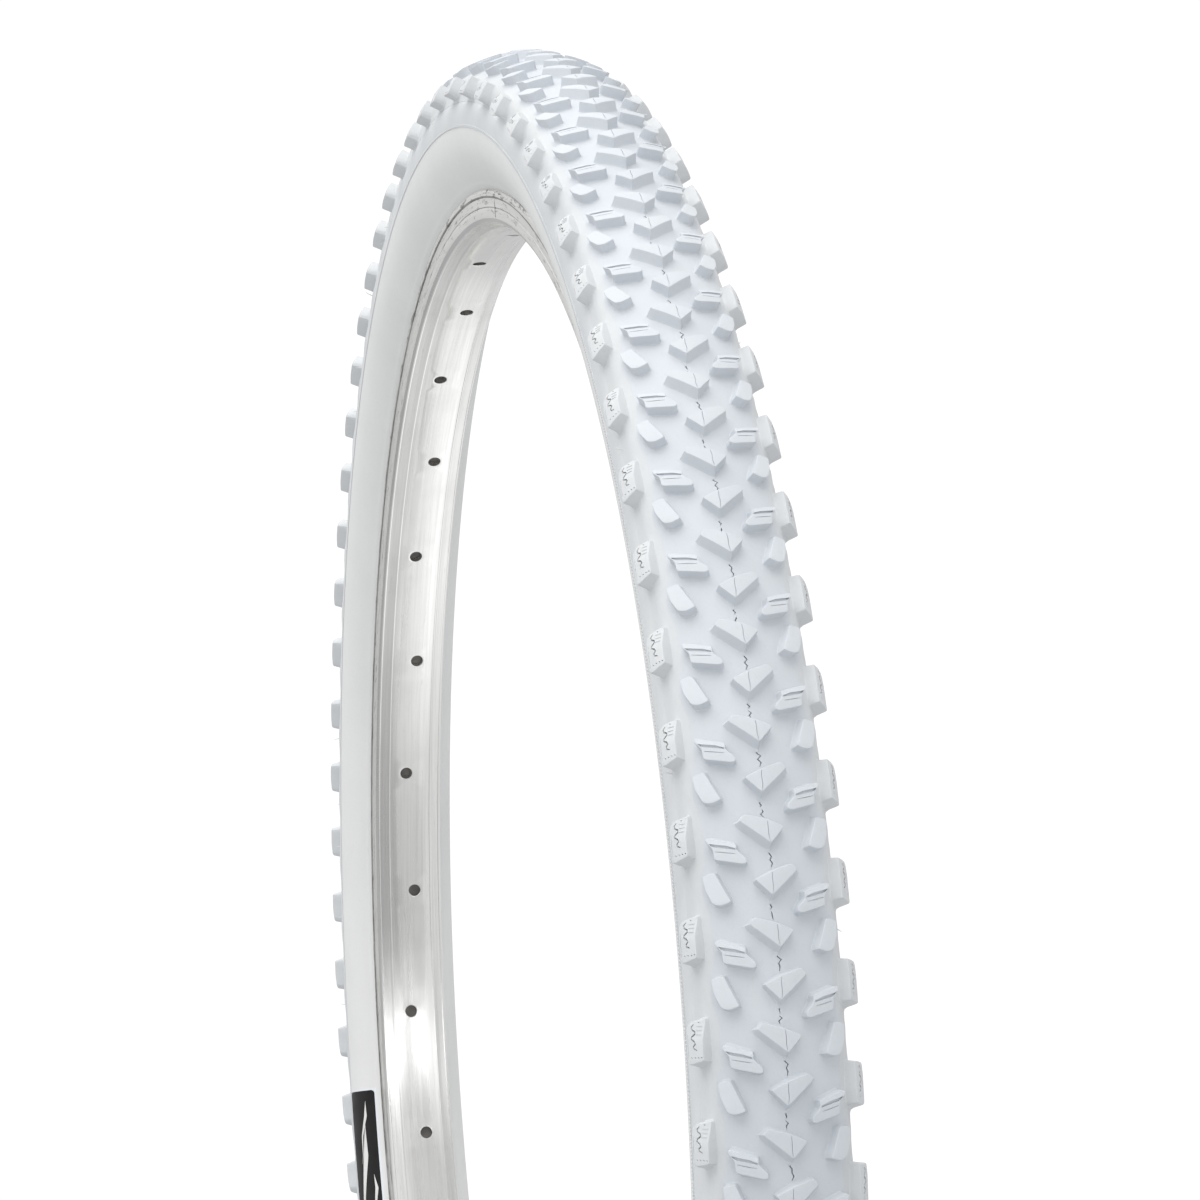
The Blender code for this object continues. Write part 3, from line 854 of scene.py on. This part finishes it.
def label_angles():
    """Angles along the label, closer together at its rounded ends."""
    end = np.array([0.0, 0.08, 0.25])
    middle = np.linspace(LABEL_FIRST + 0.6, LABEL_LAST - 0.6, 48)
    return np.concatenate([LABEL_FIRST + end, middle, LABEL_LAST - end[::-1]])


HAIR_ROWS, HAIR_SIDES, HAIR_RADIUS = 5, 6, 0.22
HAIR_FOOT_DEPTH = 4.4


def build_hairs(count, mat):
    """Vent hairs: thin moulding whiskers at the edges of the tread."""
    points = []
    faces = []
    for _ in range(count):
        arc = random.choice((-1.0, 1.0)) * random.uniform(31.2, 33.4)
        degrees = random.uniform(0.0, 360.0)
        length = random.uniform(0.8, 3.2)
        lean = random.uniform(-0.9, 0.9)
        faces += rod_faces(HAIR_ROWS, HAIR_SIDES, len(points))
        for row in range(HAIR_ROWS):
            share = row / (HAIR_ROWS - 1)
            bend = lean * share * share
            size = HAIR_RADIUS * (1.0 - 0.5 * share)
            for corner in range(HAIR_SIDES):
                angle = 2.0 * math.pi * corner / HAIR_SIDES
                place = arc + size * math.sin(angle) + 0.5 * bend
                lateral, radius = crown(place, HAIR_FOOT_DEPTH - share * length)
                turned = degrees + math.degrees((size * math.cos(angle) + bend) / TREAD_RADIUS)
                points.append(on_wheel(lateral, radius, turned).tolist())
    return add_mesh("vent_hairs", points, faces, [mat])


# ---------------------------------------------------------------- valve
# Depths are distances from the wheel's centre, down the valve's line.

THREAD_PITCH = 0.8
THREAD_DEPTH = 0.30
THREAD_FIRST, THREAD_LAST = 243.4, 270.8
THREAD_ROWS = np.arange(243.6, 270.6, 0.2)
STEM = ([(3.55, 243.0)] + [(3.95, float(row)) for row in THREAD_ROWS]
        + [(3.9, 271.4), (3.9, 283.9), (4.2, 284.2), (5.2, 284.25), (5.2, 285.1), (5.0, 285.2),
           (2.6, 285.2), (2.6, 243.2), (2.8, 243.0)])
CAP = [(4.4, 250.5), (5.1, 250.5), (5.25, 250.3), (5.3, 249.9), (5.3, 249.5), (5.3, 247.0), (5.3, 244.5),
       (5.3, 242.2), (5.25, 241.6), (5.0, 240.9), (4.5, 240.5), (3.6, 240.33), (0.0, 240.3),
       (0.0, 241.6), (4.3, 241.6), (4.3, 250.3)]
NUT = [(4.3, 268.5), (4.6, 268.2), (6.1, 268.2), (6.6, 268.6), (6.6, 270.8), (6.1, 271.2), (4.6, 271.2),
       (4.3, 270.9)]
SPRING_TOP, SPRING_FOOT, SPRING_TURNS = 245.1, 249.8, 5.0
SPRING_RADIUS, SPRING_WIRE = 1.38, 0.22


def lathe(name, section, sides, mats, body, reach):
    """Turn a closed (radius, depth) section about the valve's line. reach gives each point's own radius."""
    points = []
    loops = []
    for number, (radius, depth) in enumerate(section):
        if radius == 0.0:
            loops.append([len(points)])
            points.append((0.0, 0.0, -depth))
            continue
        loops.append(range(len(points), len(points) + sides))
        for index in range(sides):
            angle = 2.0 * math.pi * index / sides
            size = reach(number, radius, depth, angle)
            points.append((size * math.cos(angle), size * math.sin(angle), -depth))
    faces = []
    for number, here in enumerate(loops):
        there = loops[(number + 1) % len(loops)]
        for index in range(sides):
            after = (index + 1) % sides
            corners = [here[index % len(here)], here[after % len(here)],
                       there[after % len(there)], there[index % len(there)]]
            corners = list(dict.fromkeys(corners))
            if len(corners) > 2:
                faces.append(tuple(corners))
    return add_mesh(name, points, faces, mats, body=body)


def threaded(number, radius, depth, angle):
    if not 1 <= number <= len(THREAD_ROWS):
        return radius
    share = (depth / THREAD_PITCH + angle / (2.0 * math.pi)) % 1.0
    fade = min((depth - THREAD_FIRST) / 0.8, (THREAD_LAST - depth) / 0.8, 1.0)
    return radius - THREAD_DEPTH * fade * abs(2.0 * share - 1.0)


def fluted(number, radius, depth, angle):
    if not 4 <= number <= 7:
        return radius
    return radius - 0.34 * max(math.sin(16.0 * angle), -0.2)


def knurled(number, radius, depth, angle):
    return radius - 0.16 + 0.16 * math.cos(30.0 * angle) if number in (3, 4) else radius


def build_spring(mat):
    """A coil of round wire round the valve's pin."""
    steps, sides = 120, 10
    points = []
    for step in range(steps + 1):
        share = step / steps
        angle = 2.0 * math.pi * SPRING_TURNS * share
        depth = SPRING_TOP + SPRING_WIRE + (SPRING_FOOT - SPRING_TOP - 2.0 * SPRING_WIRE) * share
        for side in range(sides):
            around = 2.0 * math.pi * side / sides
            reach = SPRING_RADIUS + SPRING_WIRE * math.cos(around)
            points.append((reach * math.cos(angle), reach * math.sin(angle),
                           -depth - SPRING_WIRE * math.sin(around)))
    return add_mesh("valve_coil_spring", points, rod_faces(steps + 1, sides), [mat])


# ---------------------------------------------------------------- materials

class Graph:
    """A node tree and short ways to add nodes to it."""

    def __init__(self, tree):
        self.nodes = tree.nodes
        self.links = tree.links

    def feed(self, node, socket, source):
        """Set an input to a number, or join another node's output to it."""
        if isinstance(source, float):
            node.inputs[socket].default_value = source
        elif isinstance(source, tuple):
            node.inputs[socket].default_value = (*source, 1.0)
        else:
            self.links.new(source, node.inputs[socket])

    def math(self, operation, first, second):
        node = self.nodes.new("ShaderNodeMath")
        node.operation = operation
        self.feed(node, 0, first)
        self.feed(node, 1, second)
        return node.outputs[0]

    def levels(self, source, low, high, from_low=0.3, from_high=0.7, kind="LINEAR"):
        node = self.nodes.new("ShaderNodeMapRange")
        node.interpolation_type = kind
        sockets = ("From Min", "From Max", "To Min", "To Max", "Value")
        for socket, value in zip(sockets, (from_low, from_high, low, high, source)):
            self.feed(node, socket, value)
        return node.outputs["Result"]


class Shader(Graph):
    """A material and short ways to add its looks."""

    def __init__(self, name, colour, roughness, metallic=0.0, specular=0.5):
        self.mat = bpy.data.materials.new(name)
        self.mat.use_nodes = True
        super().__init__(self.mat.node_tree)
        self.bsdf = self.nodes["Principled BSDF"]
        for socket, value in (("Base Color", colour), ("Roughness", roughness), ("Metallic", metallic),
                              ("Specular IOR Level", specular)):
            self.feed(self.bsdf, socket, value)
        self.place = self.nodes.new("ShaderNodeTexCoord").outputs["Object"]
        self.bump_out = None

    def stretched(self, across_scale, along_scale):
        """Coordinates whose detail runs round the wheel: fine across the section, long along it."""
        split = self.nodes.new("ShaderNodeSeparateXYZ")
        self.links.new(self.place, split.inputs[0])
        attribute = self.nodes.new("ShaderNodeAttribute")
        attribute.attribute_name = "across"
        join = self.nodes.new("ShaderNodeCombineXYZ")
        parts = ((split.outputs["X"], along_scale), (split.outputs["Z"], along_scale),
                 (attribute.outputs["Fac"], across_scale))
        for number, (source, scale) in enumerate(parts):
            self.feed(join, number, self.math("MULTIPLY", source, scale))
        return join.outputs[0]

    def noise(self, scale, detail=3.0, rough=0.55, place=None):
        node = self.nodes.new("ShaderNodeTexNoise")
        for socket, value in (("Scale", scale), ("Detail", detail), ("Roughness", rough),
                              ("Vector", self.place if place is None else place)):
            self.feed(node, socket, value)
        return node.outputs["Fac"]

    def wave(self, scale, direction, distortion):
        node = self.nodes.new("ShaderNodeTexWave")
        node.bands_direction = direction
        for socket, value in (("Scale", scale), ("Distortion", distortion), ("Vector", self.place)):
            self.feed(node, socket, value)
        return node.outputs["Fac"]

    def ramp(self, source, low, high, low_at=0.35, high_at=0.65):
        node = self.nodes.new("ShaderNodeValToRGB")
        for element, place, colour in zip(node.color_ramp.elements, (low_at, high_at), (low, high)):
            element.position = place
            element.color = (*colour, 1.0)
        self.links.new(source, node.inputs["Fac"])
        return node.outputs["Color"]

    def mix(self, factor, first, second):
        node = self.nodes.new("ShaderNodeMix")
        node.data_type = "RGBA"
        for socket, source in (("Factor", factor), (6, first), (7, second)):
            self.feed(node, socket, source)
        return node.outputs[2]

    def use_colour(self, source):
        self.links.new(source, self.bsdf.inputs["Base Color"])

    def use_roughness(self, source):
        self.links.new(source, self.bsdf.inputs["Roughness"])

    def bump(self, source, distance):
        node = self.nodes.new("ShaderNodeBump")
        self.feed(node, "Distance", distance)
        self.links.new(source, node.inputs["Height"])
        if self.bump_out is not None:
            self.links.new(self.bump_out, node.inputs["Normal"])
        self.bump_out = node.outputs["Normal"]
        self.links.new(self.bump_out, self.bsdf.inputs["Normal"])


def dimmed(colour, factor):
    return tuple(value * factor for value in colour)


def rubber(name, light, dark, roughness=0.55):
    """White or printed rubber: cloudy, with fine specks and a faint grain."""
    shader = Shader(name, light, roughness, specular=0.35)
    tone = shader.ramp(shader.noise(22.0, 4.0), dark, light, 0.30, 0.62)
    specks = shader.levels(shader.noise(900.0, 2.0), 0.0, 0.22, 0.55, 0.75)
    shader.use_colour(shader.mix(specks, tone, dimmed(dark, 0.90)))
    shader.use_roughness(shader.levels(shader.noise(60.0, 3.0), roughness - 0.07, roughness + 0.10))
    shader.bump(shader.noise(1400.0, 2.0), 0.00003)
    shader.bump(shader.noise(120.0, 3.0), 0.00008)
    return shader.mat


def metal(name, light, dark, roughness, grime, spread=0.60):
    """Brushed aluminium with fine lines round the wheel, blotches, and grime in its scratches."""
    shader = Shader(name, light, roughness, 1.0)
    lay = shader.stretched(MM, 0.02)
    fine = shader.noise(900.0, 4.0, 0.65, lay)
    broad = shader.noise(198.0, 2.0, 0.5, lay)
    tone = shader.ramp(fine, dark, light, 0.30, 0.60)
    blotches = shader.levels(shader.noise(35.0, 4.0), 0.0, 0.35, 0.5, 0.75)
    tone = shader.mix(blotches, tone, dimmed(dark, 0.86))
    scratches = shader.noise(160.0, 6.0, 0.8, shader.stretched(MM * 4.0, 0.6))
    tone = shader.mix(shader.levels(scratches, 0.0, grime, spread, spread + 0.06), tone, (0.10, 0.09, 0.08))
    shader.use_colour(tone)
    shader.use_roughness(shader.levels(broad, roughness - 0.06, roughness + 0.10))
    shader.bump(fine, 0.000007)
    return shader.mat


def brushed_part(name, light, dark, roughness):
    """Small turned metal parts: fine rings round their length, and faint tarnish."""
    shader = Shader(name, light, roughness, 1.0)
    shader.use_colour(shader.mix(shader.levels(shader.noise(500.0, 4.0), 0.0, 0.8), light, dark))
    shader.use_roughness(shader.levels(shader.noise(900.0, 2.0), roughness - 0.05, roughness + 0.12))
    shader.bump(shader.wave(1400.0, "Z", 1.5), 0.00001)
    return shader.mat


def woven(name, light, dark, threads):
    """Cloth or cord ply: two sets of crossing threads."""
    shader = Shader(name, light, 0.85)
    first = shader.wave(threads, "DIAGONAL", 0.6)
    second = shader.wave(threads * 0.9, "Z", 0.8)
    cloth = shader.math("MULTIPLY", first, second)
    shader.use_colour(shader.mix(shader.levels(cloth, 0.0, 1.0, 0.1, 0.8), dark, light))
    shader.use_roughness(shader.levels(shader.noise(300.0, 3.0), 0.77, 0.93))
    shader.bump(cloth, 0.0001)
    return shader.mat


def dark_rubber(name, light, dark, roughness, specular=0.5):
    """Dark rubber, plastic or print with a fine grain."""
    shader = Shader(name, light, roughness, specular=specular)
    shader.use_colour(shader.ramp(shader.noise(180.0, 4.0), dark, light, 0.35, 0.65))
    shader.use_roughness(shader.levels(shader.noise(90.0, 3.0), roughness - 0.08, roughness + 0.12))
    shader.bump(shader.noise(1200.0, 3.0), 0.00004)
    return shader.mat


white_tread = rubber("white_tread_rubber", (0.580, 0.608, 0.640), (0.548, 0.578, 0.612))
white_shoulder = rubber("white_shoulder_rubber", (0.600, 0.615, 0.625), (0.572, 0.588, 0.600))
white_wall = rubber("white_sidewall_rubber", (0.700, 0.703, 0.697), (0.665, 0.668, 0.662), 0.5)
rim_metal = metal("rim_polished_aluminium", (0.83, 0.825, 0.805), (0.74, 0.735, 0.715), 0.24, 0.12)
track_metal = metal("rim_brake_track", (0.82, 0.815, 0.79), (0.73, 0.725, 0.70), 0.38, 0.6, 0.56)
lip_metal = metal("rim_edge_aluminium", (0.78, 0.775, 0.745), (0.64, 0.635, 0.61), 0.34, 0.85, 0.53)
# The groove metal is painted darker than the rest to stand for the shade in the rim's grooves. Its scratches
# carry grime like the other metals.
groove_shade_metal = metal("rim_groove_painted_shade", (0.46, 0.46, 0.44), (0.28, 0.28, 0.265), 0.6, 0.6, 0.50)

tape_mat = dark_rubber("rim_tape_rubber", (0.20, 0.19, 0.175), (0.12, 0.112, 0.105), 0.8)
label_mat = dark_rubber("label_film_print", (0.013, 0.012, 0.011), (0.007, 0.007, 0.007), 0.38, 0.22)
carrier_mat = rubber("label_carrier_film", (0.74, 0.77, 0.80), (0.68, 0.71, 0.745), 0.35)
slash_mat = rubber("label_slash_print", (0.72, 0.72, 0.70), (0.60, 0.60, 0.585), 0.4)
tube_mat = dark_rubber("tube_butyl", (0.035, 0.035, 0.038), (0.022, 0.022, 0.024), 0.5)
boot_mat = dark_rubber("boot_butyl", (0.045, 0.044, 0.043), (0.028, 0.028, 0.028), 0.6)
cap_mat = dark_rubber("cap_black_plastic", (0.032, 0.032, 0.034), (0.022, 0.022, 0.023), 0.38)
seal_mat = dark_rubber("seal_red_rubber", (0.22, 0.05, 0.04), (0.15, 0.035, 0.03), 0.6)
seam_mat = dark_rubber("rim_joint_shadow", (0.09, 0.088, 0.085), (0.05, 0.05, 0.048), 0.7)
ply_mat = woven("casing_cotton_ply", (0.62, 0.56, 0.44), (0.40, 0.35, 0.26), 260.0)
belt_mat = woven("belt_aramid_cloth", (0.70, 0.52, 0.18), (0.44, 0.31, 0.10), 320.0)
chafer_mat = woven("chafer_cloth_weave", (0.30, 0.30, 0.29), (0.15, 0.15, 0.145), 420.0)
bead_mat = brushed_part("bead_steel_wire", (0.62, 0.60, 0.55), (0.45, 0.42, 0.37), 0.35)
brass_mat = brushed_part("stem_brass", (0.78, 0.62, 0.34), (0.58, 0.44, 0.22), 0.28)
core_mat = brushed_part("core_brass_turned", (0.80, 0.66, 0.38), (0.62, 0.48, 0.25), 0.26)
pin_mat = brushed_part("pin_bright_steel", (0.72, 0.71, 0.68), (0.54, 0.53, 0.50), 0.26)
spring_mat = brushed_part("spring_wire_steel", (0.60, 0.60, 0.61), (0.42, 0.42, 0.43), 0.3)
nickel_mat = brushed_part("nut_nickel_plate", (0.76, 0.74, 0.70), (0.60, 0.58, 0.54), 0.24)

# ---------------------------------------------------------------- the object

tread, shoulder_left, shoulder_right = build_tread(white_tread, white_shoulder)
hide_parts("tread")

for side, word in ((-1.0, "left"), (1.0, "right")):
    wall = build_sidewall(side, "sidewall_%s_skin" % word, [white_wall, white_shoulder])
    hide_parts("sidewall_" + word)
    ticks = build_tick_ring(side, "notched_ring_" + word, white_shoulder)

rim = build_rim([rim_metal, track_metal, lip_metal, groove_shade_metal])
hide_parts("rim")

# The label: a black film on a pale carrier on the left sidewall, with plain tapered slashes printed on it.
carrier_angles = np.linspace(LABEL_FIRST - 0.14, LABEL_LAST + 0.14, 60)
carrier = build_film("label_carrier", [(carrier_angles, carrier_edges)], 0.02, 0.06, carrier_mat)
label = build_film("label_film", [(label_angles(), label_edges)], 0.085, 0.10, label_mat)
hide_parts("sidewall_label")
slashes = build_film("label_slashes", [slash(*shape) for shape in SLASHES], 0.185, 0.05, slash_mat)

hairs = build_hairs(64, white_wall)

stem = lathe("valve_threaded_stem", STEM, 28, [brass_mat], "wheel", threaded)
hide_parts("valve_stem")

cap = lathe("valve_fluted_cap", CAP, 96, [cap_mat], "cap", fluted)
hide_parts("valve_cap")

nut = lathe("valve_knurled_nut", NUT, 120, [nickel_mat], "nut", knurled)
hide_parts("valve_nut")

spring = build_spring(spring_mat)
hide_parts("valve_spring")
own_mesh(spring)

node_mats = {
    "rim_tape": tape_mat, "casing": ply_mat, "breaker_belt": belt_mat,
    "bead_wire_left": bead_mat, "bead_wire_right": bead_mat,
    "chafer_left": chafer_mat, "chafer_right": chafer_mat,
    "inner_tube": tube_mat, "valve_boot": boot_mat, "valve_core": core_mat,
    "valve_pin": pin_mat, "valve_cap_seal": seal_mat,
}
for node, mat in node_mats.items():
    for material_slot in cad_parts[node].material_slots:
        material_slot.material = mat

joint = build_rim_joint(seam_mat)


# ---------------------------------------------------------------- camera, floor and light

CAMERA_PLACE = (1.5215, -0.29745, 0.22889)
CAMERA_TILT, CAMERA_ROLL, CAMERA_TURN = 87.032, 1.873, 78.031
FLOOR_LEVEL = -TREAD_RADIUS * MM - 0.0002
FLOOR_RADIUS = 0.66
FLOOR_SIDES = 128


def build_camera():
    data = bpy.data.cameras.new("camera")
    data.lens = 140.0
    data.sensor_width = 36.0
    camera = new_object("camera", data)
    angles = Euler([math.radians(angle) for angle in (CAMERA_TILT, CAMERA_ROLL, CAMERA_TURN)])
    camera.matrix_world = Matrix.LocRotScale(Vector(CAMERA_PLACE), angles, None)
    bpy.context.scene.camera = camera


def build_floor():
    """A round matt floor just under the tyre."""
    angles = [2.0 * math.pi * side / FLOOR_SIDES for side in range(FLOOR_SIDES)]
    points = [(FLOOR_RADIUS * math.cos(angle), FLOOR_RADIUS * math.sin(angle), FLOOR_LEVEL)
              for angle in angles]
    mesh = bpy.data.meshes.new("floor")
    mesh.from_pydata(points, [], [tuple(range(FLOOR_SIDES))])
    shader = Shader("studio_floor", (0.95, 0.95, 0.95), 0.9, specular=0.0)
    shader.use_colour(shader.ramp(shader.noise(3.0), (0.94, 0.94, 0.94), (0.96, 0.96, 0.96)))
    mesh.materials.append(shader.mat)
    floor = new_object("floor", mesh)
    floor.visible_glossy = False
    floor.visible_diffuse = False
    return floor


def build_sky():
    """White behind the object. It is lit by a pale dome, a pale ground and a bright strip low in the east."""
    world = bpy.data.worlds.new("studio")
    bpy.context.scene.world = world
    world.use_nodes = True
    sky = Graph(world.node_tree)

    def ease(source, from_low, from_high, low, high):
        return sky.levels(source, low, high, from_low, from_high, "SMOOTHSTEP")

    def product(first, second):
        return sky.math("MULTIPLY", first, second)

    direction = sky.nodes.new("ShaderNodeSeparateXYZ")
    sky.links.new(sky.nodes.new("ShaderNodeTexCoord").outputs["Generated"], direction.inputs[0])
    rays = sky.nodes.new("ShaderNodeLightPath").outputs
    east, north, height = direction.outputs["X"], direction.outputs["Y"], direction.outputs["Z"]
    dome = ease(height, 0.05, 0.9, 0.74, 0.98)
    dome = product(dome, ease(east, -0.4, 0.9, 1.08, 0.82))
    dome = product(dome, ease(north, -0.9, 0.9, 1.25, 0.90))
    mirrored_ground = product(ease(height, -0.9, -0.4, 0.98, 0.54), ease(north, -0.5, 0.8, 0.82, 1.5))
    shiny = rays["Is Glossy Ray"]
    plain_ground = product(sky.math("SUBTRACT", 1.0, shiny), 0.82)
    ground = sky.math("ADD", product(shiny, mirrored_ground), plain_ground)
    below = product(ease(height, -0.06, 0.0, 1.0, 0.0), ground)
    above = product(ease(height, -0.06, 0.0, 0.0, 1.0), dome)
    strip = product(ease(height, 0.04, 0.07, 0.0, 1.0), ease(height, 0.13, 0.18, 1.0, 0.0))
    strip = product(strip, ease(east, 0.3, 0.7, 0.0, 2.6))
    lit = sky.nodes["Background"]
    sky.feed(lit, "Color", (0.98, 0.988, 1.0))
    sky.feed(lit, "Strength", sky.math("ADD", sky.math("ADD", below, above), strip))
    seen = sky.nodes.new("ShaderNodeBackground")
    sky.feed(seen, "Color", (1.0, 1.0, 1.0))
    sky.feed(seen, "Strength", 1.05)
    switch = sky.nodes.new("ShaderNodeMixShader")
    for socket, source in enumerate((rays["Is Camera Ray"], lit.outputs[0], seen.outputs[0])):
        sky.feed(switch, socket, source)
    sky.links.new(switch.outputs[0], sky.nodes["World Output"].inputs["Surface"])


def build_sun():
    """One wide soft light from above."""
    data = bpy.data.lights.new("overhead", "SUN")
    data.energy = 2.0
    data.angle = math.radians(70.0)
    data.color = (1.0, 0.985, 0.96)
    sun = new_object("overhead", data)
    sun.visible_glossy = False
    sun.rotation_mode = "QUATERNION"
    sun.rotation_quaternion = Vector((-0.10, 0.25, -1.0)).to_track_quat("-Z", "Y")


build_camera()
build_floor()
build_sky()
build_sun()
bpy.context.scene.view_settings.view_transform = "Standard"
